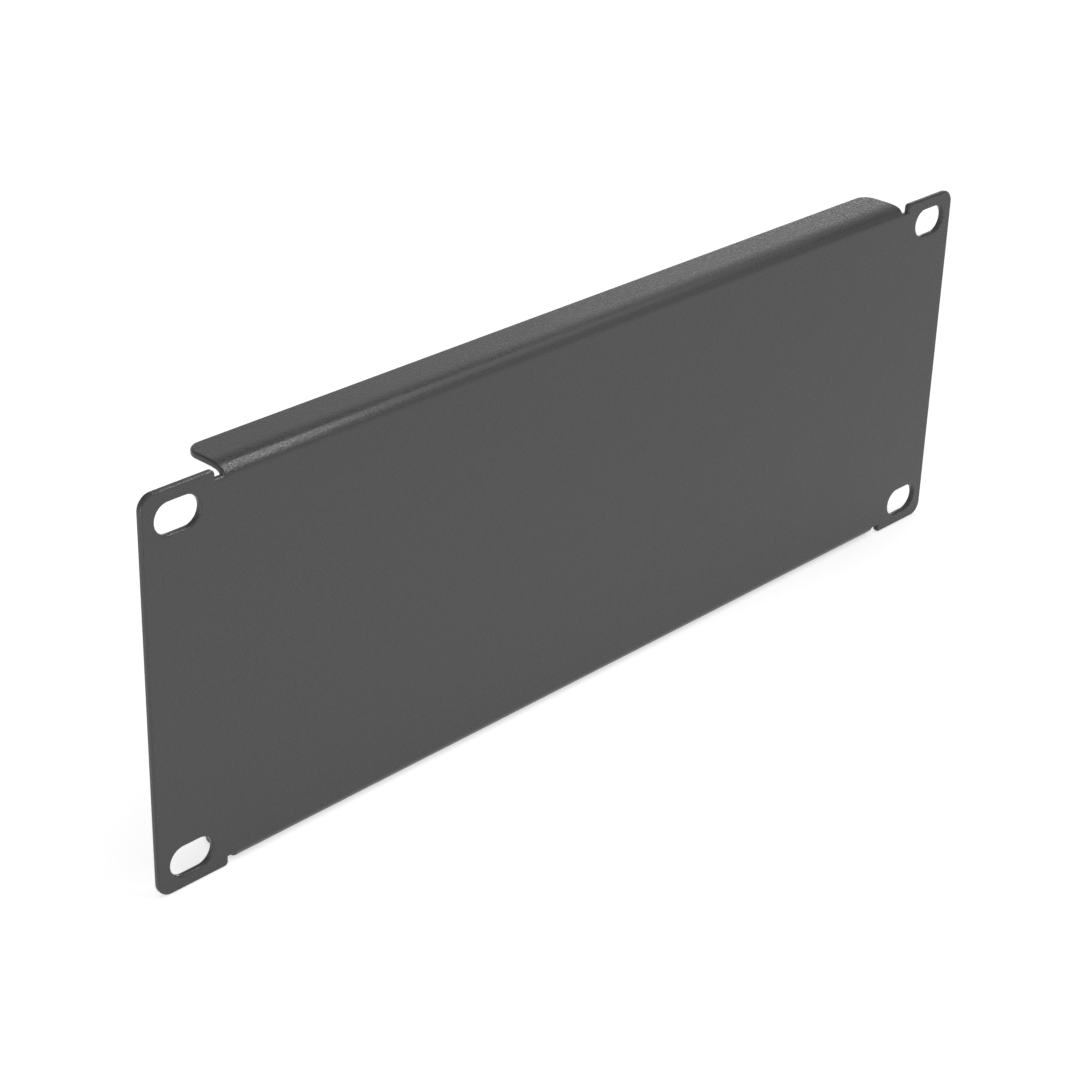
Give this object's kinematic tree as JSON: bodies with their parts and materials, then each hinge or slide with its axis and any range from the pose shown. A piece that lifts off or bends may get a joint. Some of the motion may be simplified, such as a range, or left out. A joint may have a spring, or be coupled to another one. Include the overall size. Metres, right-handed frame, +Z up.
{
  "type": "rack blanking panel",
  "caption": "Flat blanking panel with slotted ears and folded-back upper and lower flanges, which covers an unused space in a small equipment rack.",
  "frame": {"origin": "middle of the four slots, on the rear of the face, where the ears lie on the rack's rails", "axes": "+X to the right along the face, +Y back into the rack, the way the flanges point, +Z up"},
  "size_m": [0.254, 0.0122, 0.0888],
  "materials": {
    "powder_coat": "fine satin powder coat, dark grey"
  },
  "bodies": {
    "root": {"blanking_panel": "powder_coat"}
  },
  "joints": []
}
